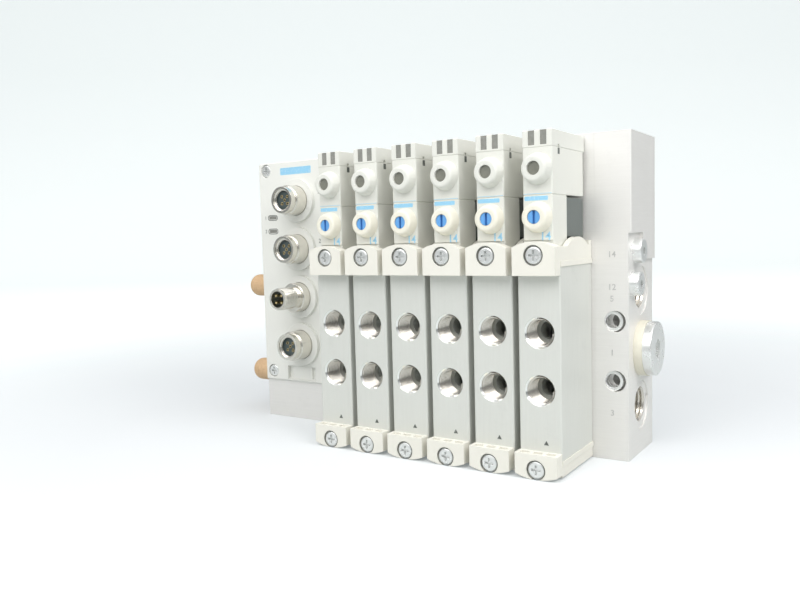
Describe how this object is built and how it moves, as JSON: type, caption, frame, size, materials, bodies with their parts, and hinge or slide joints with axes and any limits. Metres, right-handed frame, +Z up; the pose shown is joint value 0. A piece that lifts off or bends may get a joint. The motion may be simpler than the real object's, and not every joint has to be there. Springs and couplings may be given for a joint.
{
  "type": "pneumatic valve island",
  "caption": "Row of slim spool valves with pilot heads on a ported aluminium rail, with an electrical connector module on the left and a ported end plate on the right.",
  "frame": {"origin": "centre of the rail's bottom face, under the middle of the row of valves", "axes": "+X along the row towards the right end plate, +Y from the port side to the back, +Z up"},
  "size_m": [0.1841, 0.06, 0.1083],
  "materials": {
    "body_aluminium": "satin anodised",
    "plate_aluminium": "brushed",
    "cap_plastic": "satin moulded",
    "pilot_plastic": "satin moulded",
    "module_plastic": "fine grained",
    "override_blue": "moulded",
    "screw_steel": "zinc plated",
    "spool_steel": "turned",
    "armature_iron": "turned",
    "nickel": "nickel plated",
    "pin_gold": "gold plated",
    "contact_carrier": "moulded",
    "coil_resin": "moulded",
    "bronze": "sintered",
    "seal_rubber": "matt",
    "ring_plastic": "moulded",
    "window_clear": "clear",
    "board_laminate": "lacquered"
  },
  "bodies": {
    "island": {"body_gaskets": "seal_rubber", "circuit_boards": "board_laminate", "connector_inserts": "contact_carrier", "contact_pins": "pin_gold", "cover_lids": "pilot_plastic", "housing_screws": "screw_steel", "left_end_plate": "plate_aluminium", "light_guides": "window_clear", "lower_end_caps": "cap_plastic", "manifold_rail": "plate_aluminium", "module_housing": "module_plastic", "pilot_covers": "pilot_plastic", "pilot_housing_1": "pilot_plastic", "pilot_housing_2": "pilot_plastic", "pilot_housing_3": "pilot_plastic", "pilot_housing_4": "pilot_plastic", "pilot_housing_5": "pilot_plastic", "pilot_housing_6": "pilot_plastic", "pilot_plugs": "screw_steel", "power_shell": "nickel", "right_end_plate": "plate_aluminium", "silencers": "bronze", "socket_shells": "nickel", "solenoid_coils": "coil_resin", "supply_plug": "screw_steel", "supply_plug_ring": "ring_plastic", "tie_rods": "screw_steel", "upper_end_caps": "cap_plastic", "valve_body_1": "body_aluminium", "valve_body_2": "body_aluminium", "valve_body_3": "body_aluminium", "valve_body_4": "body_aluminium", "valve_body_5": "body_aluminium", "valve_body_6": "body_aluminium", "valve_screws": "screw_steel"},
    "spool_1": {"spool_1": "spool_steel"},
    "override_push_1": {"override_plunger_1": "contact_carrier", "armature_1": "armature_iron"},
    "override_turn_1": {"override_head_1": "override_blue"},
    "spool_2": {"spool_2": "spool_steel"},
    "override_push_2": {"override_plunger_2": "contact_carrier", "armature_2": "armature_iron"},
    "override_turn_2": {"override_head_2": "override_blue"},
    "spool_3": {"spool_3": "spool_steel"},
    "override_push_3": {"override_plunger_3": "contact_carrier", "armature_3": "armature_iron"},
    "override_turn_3": {"override_head_3": "override_blue"},
    "spool_4": {"spool_4": "spool_steel"},
    "override_push_4": {"override_plunger_4": "contact_carrier", "armature_4": "armature_iron"},
    "override_turn_4": {"override_head_4": "override_blue"},
    "spool_5": {"spool_5": "spool_steel"},
    "override_push_5": {"override_plunger_5": "contact_carrier", "armature_5": "armature_iron"},
    "override_turn_5": {"override_head_5": "override_blue"},
    "spool_6": {"spool_6": "spool_steel"},
    "override_push_6": {"override_plunger_6": "contact_carrier", "armature_6": "armature_iron"},
    "override_turn_6": {"override_head_6": "override_blue"}
  },
  "joints": [
    {"name": "spool_slide_1", "type": "slide", "parent": "island", "child": "spool_1", "axis": [0, 0, 1], "range_m": [0, 0.0025]},
    {"name": "override_press_1", "type": "slide", "parent": "island", "child": "override_push_1", "axis": [0, 1, 0], "range_m": [0, 0.001], "stiffness_N_per_m": 300},
    {"name": "override_lock_1", "type": "hinge", "parent": "override_push_1", "child": "override_turn_1", "pos_m": [-0.04, -0.0435, 0.0805], "axis": [0, 1, 0], "range_deg": [0, 90]},
    {"name": "spool_slide_2", "type": "slide", "parent": "island", "child": "spool_2", "axis": [0, 0, 1], "range_m": [0, 0.0025]},
    {"name": "override_press_2", "type": "slide", "parent": "island", "child": "override_push_2", "axis": [0, 1, 0], "range_m": [0, 0.001], "stiffness_N_per_m": 300},
    {"name": "override_lock_2", "type": "hinge", "parent": "override_push_2", "child": "override_turn_2", "pos_m": [-0.024, -0.0435, 0.0805], "axis": [0, 1, 0], "range_deg": [0, 90]},
    {"name": "spool_slide_3", "type": "slide", "parent": "island", "child": "spool_3", "axis": [0, 0, 1], "range_m": [0, 0.0025]},
    {"name": "override_press_3", "type": "slide", "parent": "island", "child": "override_push_3", "axis": [0, 1, 0], "range_m": [0, 0.001], "stiffness_N_per_m": 300},
    {"name": "override_lock_3", "type": "hinge", "parent": "override_push_3", "child": "override_turn_3", "pos_m": [-0.008, -0.0435, 0.0805], "axis": [0, 1, 0], "range_deg": [0, 90]},
    {"name": "spool_slide_4", "type": "slide", "parent": "island", "child": "spool_4", "axis": [0, 0, 1], "range_m": [0, 0.0025]},
    {"name": "override_press_4", "type": "slide", "parent": "island", "child": "override_push_4", "axis": [0, 1, 0], "range_m": [0, 0.001], "stiffness_N_per_m": 300},
    {"name": "override_lock_4", "type": "hinge", "parent": "override_push_4", "child": "override_turn_4", "pos_m": [0.008, -0.0435, 0.0805], "axis": [0, 1, 0], "range_deg": [0, 90]},
    {"name": "spool_slide_5", "type": "slide", "parent": "island", "child": "spool_5", "axis": [0, 0, 1], "range_m": [0, 0.0025]},
    {"name": "override_press_5", "type": "slide", "parent": "island", "child": "override_push_5", "axis": [0, 1, 0], "range_m": [0, 0.001], "stiffness_N_per_m": 300},
    {"name": "override_lock_5", "type": "hinge", "parent": "override_push_5", "child": "override_turn_5", "pos_m": [0.024, -0.0435, 0.0805], "axis": [0, 1, 0], "range_deg": [0, 90]},
    {"name": "spool_slide_6", "type": "slide", "parent": "island", "child": "spool_6", "axis": [0, 0, 1], "range_m": [0, 0.0025]},
    {"name": "override_press_6", "type": "slide", "parent": "island", "child": "override_push_6", "axis": [0, 1, 0], "range_m": [0, 0.001], "stiffness_N_per_m": 300},
    {"name": "override_lock_6", "type": "hinge", "parent": "override_push_6", "child": "override_turn_6", "pos_m": [0.04, -0.0435, 0.0805], "axis": [0, 1, 0], "range_deg": [0, 90]}
  ]
}
